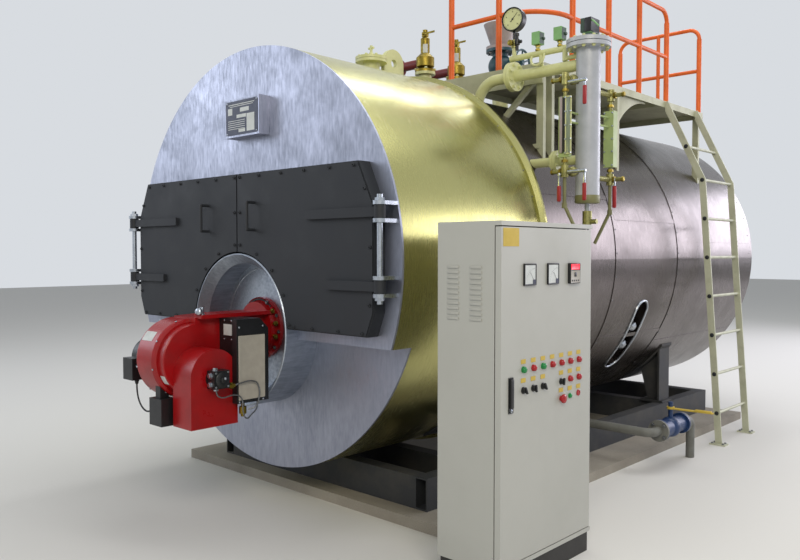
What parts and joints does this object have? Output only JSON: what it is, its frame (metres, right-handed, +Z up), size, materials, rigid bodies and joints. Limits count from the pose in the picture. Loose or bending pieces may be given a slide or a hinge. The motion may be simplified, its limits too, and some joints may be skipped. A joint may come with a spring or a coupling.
{
  "type": "horizontal fire-tube steam boiler",
  "caption": "Horizontal fire-tube steam boiler on a skid, with smoke-box doors, oil burner, water column, walkway, ladder and control cabinet.",
  "frame": {"origin": "on the floor, under the middle of the shell's length: the centre of the plinth's underside", "axes": "+Z up, the shell lies along Y with the smoke-box doors and burner facing -Y, and the water column, ladder and cabinet on the +X side"},
  "size_m": [2.998, 5.5253, 3.3913],
  "materials": {
    "concrete": "cast concrete, brushed",
    "skid_steel": "grey primer paint",
    "shell_steel": "dark rolled steel plate",
    "box_sheet": "scuffed steel sheet",
    "polished_sheet": "bright rolled sheet",
    "brushed_sheet": "dull brushed sheet",
    "tunnel_steel": "turned silver paint",
    "door_black": "matte blue-black paint",
    "hinge_steel": "bright steel",
    "walkway_steel": "pale grey paint",
    "rail_orange": "orange gloss paint",
    "ladder_steel": "grey paint, worn",
    "fitting_grey": "silver paint",
    "valve_brass": "dull brass",
    "valve_teal": "dark teal paint",
    "column_silver": "silver paint",
    "gauge_green": "green enamel",
    "dial": "dial in a black case",
    "pipe_grey": "dull grey pipe",
    "valve_blue": "blue enamel",
    "outlet_red": "dark red paint",
    "reducer_grey": "grey primer",
    "cock_bronze": "dull bronze, part painted",
    "lever_yellow": "worn yellow paint",
    "burner_red": "red gloss paint",
    "burner_black": "black moulding",
    "pump_black": "black casting",
    "cabinet_beige": "beige-grey powder coat"
  },
  "bodies": {
    "boiler": {"plinth": "concrete", "skid": "skid_steel", "front_legs": "skid_steel", "rear_legs": "skid_steel", "shell": "shell_steel", "front_tube_plate": "shell_steel", "rear_tube_plate": "shell_steel", "smoke_tubes": "shell_steel", "furnace": "shell_steel", "smoke_box": "box_sheet", "raised_plate": "box_sheet", "lower_front": "box_sheet", "burner_tunnel": "tunnel_steel", "front_cladding": "polished_sheet", "rear_cladding": "brushed_sheet", "rear_end": "brushed_sheet", "flue_outlet": "fitting_grey", "door_hinges": "hinge_steel", "walkway_deck": "walkway_steel", "walkway_supports": "walkway_steel", "guard_rails": "rail_orange", "ladder": "ladder_steel", "vent_nozzle": "fitting_grey", "lifting_lug": "fitting_grey", "safety_valves": "valve_brass", "valve_nozzles": "fitting_grey", "safety_outlets": "outlet_red", "steam_reducer": "reducer_grey", "gauge_cocks": "cock_bronze", "blowdown_lever": "lever_yellow", "damper_drive": "burner_black", "steam_valve": "valve_teal", "water_column": "column_silver", "column_pipes": "fitting_grey", "level_gauges": "gauge_green", "gauge_drains": "pipe_grey", "pressure_header": "fitting_grey", "pressure_gauge": "dial", "pressure_switches": "gauge_green", "handhole": "brushed_sheet", "blowdown_pipe": "pipe_grey", "blowdown_valve": "valve_blue", "burner_flange": "burner_red", "burner_body": "burner_red", "air_intake": "burner_red", "fan_motor": "burner_black", "burner_control": "burner_black", "oil_pump": "pump_black", "control_cabinet": "cabinet_beige"},
    "left_door": {"door_left": "door_black"},
    "right_door": {"door_right": "door_black"},
    "cabinet_leaf": {"cabinet_door": "cabinet_beige"}
  },
  "joints": [
    {"name": "right_door_swing", "type": "hinge", "parent": "boiler", "child": "right_door", "pos_m": [1.14, -2.46, 1.48], "axis": [0, 0, 1], "range_deg": [0, 110]},
    {"name": "left_door_swing", "type": "hinge", "parent": "boiler", "child": "left_door", "pos_m": [-1.14, -2.46, 1.48], "axis": [0, 0, -1], "range_deg": [0, 110]},
    {"name": "cabinet_door_swing", "type": "hinge", "parent": "boiler", "child": "cabinet_leaf", "pos_m": [1.756, -1.645, 0.85], "axis": [0, 0, 1], "range_deg": [0, 105]}
  ]
}
